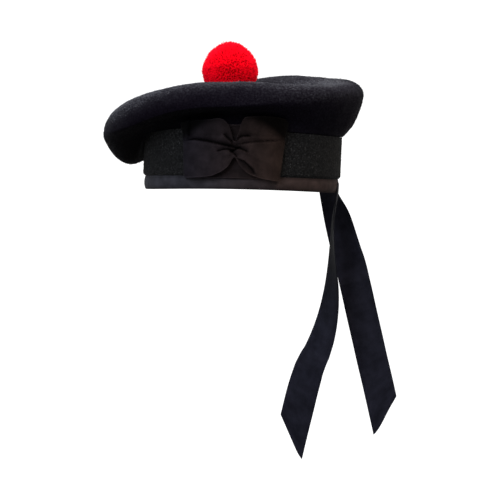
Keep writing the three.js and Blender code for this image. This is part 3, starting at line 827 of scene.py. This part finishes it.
def make_pompom(material):
    """Cut yarn ends packed all round, flattened where they meet the crown, and their loose fibres."""
    count, sides = STRAND_COUNT, STRAND_SIDES
    k = np.arange(count) + 0.5
    height = 1 - 2 * k / count
    turn = math.pi * (3 - math.sqrt(5)) * k
    across = np.sqrt(1 - height ** 2)
    way = np.stack([across * np.cos(turn), across * np.sin(turn), height], axis=-1)
    way = unit(way + random.normal(scale=0.03, size=way.shape))
    tuft = rough(way * 30, 8)
    tip = pompom_reach(way) * (0.99 + 0.02 * tuft + random.normal(scale=0.013, size=count))
    side = unit(np.cross(way, random.normal(size=way.shape)))
    third = np.cross(way, side)
    bend = random.normal(scale=1.3, size=(count, 1)) * side
    middle = CROWN_CENTRE + np.array([0, 0, POMPOM_HEIGHT - POMPOM_TRIM + CLEARANCE])
    root = STRAND_SECTIONS[0]["reach"]
    rings = []
    for section in STRAND_SECTIONS:
        share = section["reach"]
        spine = middle + way * (tip * share)[:, None] + bend * (share - root) / (1 - root)
        for a in circle(sides):
            rings.append(spine + section["radius"] * (math.cos(a) * side + math.sin(a) * third))
    strands = np.stack(rings, axis=1)
    size = len(rings)
    walls = [(r + a, r + b, r + b + sides, r + a + sides)
             for r in range(0, size - sides, sides) for a, b in ((0, 1), (1, 2), (2, 0))]
    walls += [(2, 1, 0), (size - 3, size - 2, size - 1)]
    core, faces = pompom_core(middle)
    for start in range(len(core), len(core) + count * size, size):
        faces += [tuple(start + corner for corner in face) for face in walls]
    points = np.concatenate([core, strands.reshape(-1, 3)])
    seat = CROWN_CENTRE[2] + CLEARANCE
    points[:, 2] = np.maximum(points[:, 2], seat + 0.02 * random.uniform(size=len(points)))
    # Painted light and shade: strands are made darker on top, where the lamp above lights them most, and
    # paler below; tufts and chance vary them too.
    own = 0.6 - 0.45 * height + 0.15 * tuft + random.normal(scale=0.12, size=count)
    shade = own[:, None] + np.repeat([section["shade"] for section in STRAND_SECTIONS], sides)
    # The core is given painted shade, dark between the strands.
    shade = np.clip(np.concatenate([np.full(len(core), POMPOM_CORE["shade"]), shade.ravel()]), 0, 1)
    ball = mesh_object("pompom_yarn", points, faces, material, shade=shade)
    ball.data.normals_split_custom_set_from_vertices(unit(points - middle).tolist())
    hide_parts("pompom")
    loose = np.flatnonzero(strands[:, -1, 2] > seat + FUZZ["clear"])
    picked = random.choice(loose, FUZZ["count"])
    ways = unit(way[picked] + random.normal(scale=0.6, size=(len(picked), 3)))
    roots = strands[picked, -1] - ways * FUZZ["sink"]
    lengths = random.uniform(1.2, 2.6, len(picked))
    shade = random.uniform(0.5, 1, len(picked))
    spikes("pompom_fuzz", roots, ways, lengths, FUZZ["radius"], material, shade)


# Stage, lights and camera


def floor_paint():
    """Pale matt paint that glows as painted light: not near the middle, more where the floor runs far out
    and curves up, and most behind.
    """
    s = Shader("floor_paint", Base_Color=(0.32, 0.32, 0.32, 1), Roughness=1.0, Specular_IOR_Level=0.0,
               Emission_Strength=1.0)
    place = s.add("TexCoord").outputs["Object"]
    radius = s.add("VectorMath")
    radius.operation = "LENGTH"
    s.tree.links.new(place, radius.inputs[0])
    share = s.add("MapRange", Value=radius.outputs["Value"], From_Min=0.35, From_Max=1.4).outputs["Result"]
    depth = s.add("SeparateXYZ", Vector=place).outputs["Y"]
    behind = s.add("MapRange", Value=depth, From_Min=-1.0, From_Max=1.8).outputs["Result"]
    glow = s.mix(behind, (0.2, 0.2, 0.2), (1.0, 1.0, 1.0))
    s.put(s.surface, {"Emission_Color": s.mix(share, (0, 0, 0), glow)})
    return s.material


def make_stage():
    """A pale floor that curves up far away on every side."""
    points = []
    for r, z in FLOOR_PROFILE:
        points += [(r * math.cos(a), r * math.sin(a), z + FLOOR_Z * MM) for a in circle(FLOOR_SIDES)]
    faces = [tuple(range(FLOOR_SIDES))] + ring_faces(len(FLOOR_PROFILE), FLOOR_SIDES)
    mesh = bpy.data.meshes.new("floor")
    mesh.from_pydata(points, [], faces)
    mesh.shade_smooth()
    mesh.materials.append(floor_paint())
    floor = bpy.data.objects.new("floor", mesh)
    bpy.context.scene.collection.objects.link(floor)


def make_lights():
    world = bpy.data.worlds.new("studio")
    world.use_nodes = True
    background = world.node_tree.nodes["Background"]
    background.inputs["Color"].default_value = (1, 1, 1, 1)
    background.inputs["Strength"].default_value = WORLD_STRENGTH
    bpy.context.scene.world = world
    for name, lamp in LAMPS.items():
        data = bpy.data.lights.new(name, "AREA")
        data.shape = "DISK"
        data.size = lamp["size"]
        data.energy = lamp["power"]
        data.color = lamp["colour"]
        made = bpy.data.objects.new(name, data)
        made.location = lamp["place"]
        ahead = Vector(LIT_PLACE) - Vector(lamp["place"])
        made.rotation_euler = ahead.to_track_quat("-Z", "Y").to_euler()
        bpy.context.scene.collection.objects.link(made)
    bpy.context.scene.view_settings.view_transform = "Standard"


def make_camera():
    """The photograph's camera: level with the rim but for a degree, and rolled a little."""
    du, dv = IMAGE_PX / 2 - RIM_PX[0], RIM_PX[1] - IMAGE_PX / 2
    cos, sin = math.cos(CAMERA_ROLL), math.sin(CAMERA_ROLL)
    target = Vector((du * cos - dv * sin, 0, du * sin + dv * cos)) * MM_PER_PX
    eye = Vector((target.x, -CAMERA_DISTANCE * math.cos(CAMERA_ELEVATION),
                  CAMERA_DISTANCE * math.sin(CAMERA_ELEVATION)))
    ahead = (target - eye).normalized()
    right = ahead.cross(Vector((0, 0, 1))).normalized()
    up = right.cross(ahead)
    right, up = right * cos + up * sin, up * cos - right * sin
    data = bpy.data.cameras.new("camera")
    data.sensor_width = SENSOR
    data.lens = SENSOR * (target - eye).length / (IMAGE_PX * MM_PER_PX)
    camera = bpy.data.objects.new("camera", data)
    turn = Matrix((right, up, -ahead)).transposed().to_4x4()
    camera.matrix_world = Matrix.Translation(eye * MM) @ turn
    bpy.context.scene.collection.objects.link(camera)
    bpy.context.scene.camera = camera


make_camera()
make_lights()
make_stage()

felt_cloth = felt("crown_felt", palest=(0.0300, 0.0304, 0.0345))
# The hairs run to a paler colour, which carries the painted rim light along the crown's crest.
felt_hair = felt("crown_hair", palest=(0.11, 0.112, 0.122))
band_cloth = wool()
# front and back: colours towards the wearer's front and back, which differ by painted cool and warm light.
binding_cloth = ribbon("binding_ribbon", BINDING_WIDTH, front=(0.0142, 0.0139, 0.0163),
                       back=(0.0173, 0.0117, 0.0105), edge_highlight=2.0)
bow_cloth = ribbon("bow_ribbon", BOW_WIDTH, front=(0.0052, 0.0046, 0.0061),
                   back=(0.0103, 0.0063, 0.0047), edge_highlight=2.0)
tail_cloth = ribbon("tail_ribbon", TAIL_WIDTH, front=(0.0056, 0.0057, 0.0087),
                    back=(0.0056, 0.0057, 0.0087), edge_highlight=1.2)

crown_face = make_crown(felt_cloth)
band_face = make_headband(band_cloth)
make_binding(binding_cloth)
make_bow(bow_cloth)
for node, tail in TAILS.items():
    make_tail(node, tail, tail_cloth)
make_pompom(yarn())
make_nap("crown_nap", *crown_face, CROWN_HAIR, felt_hair, "crown_felt")
make_nap("band_nap", *band_face, BAND_HAIR, band_cloth, "band_wool")
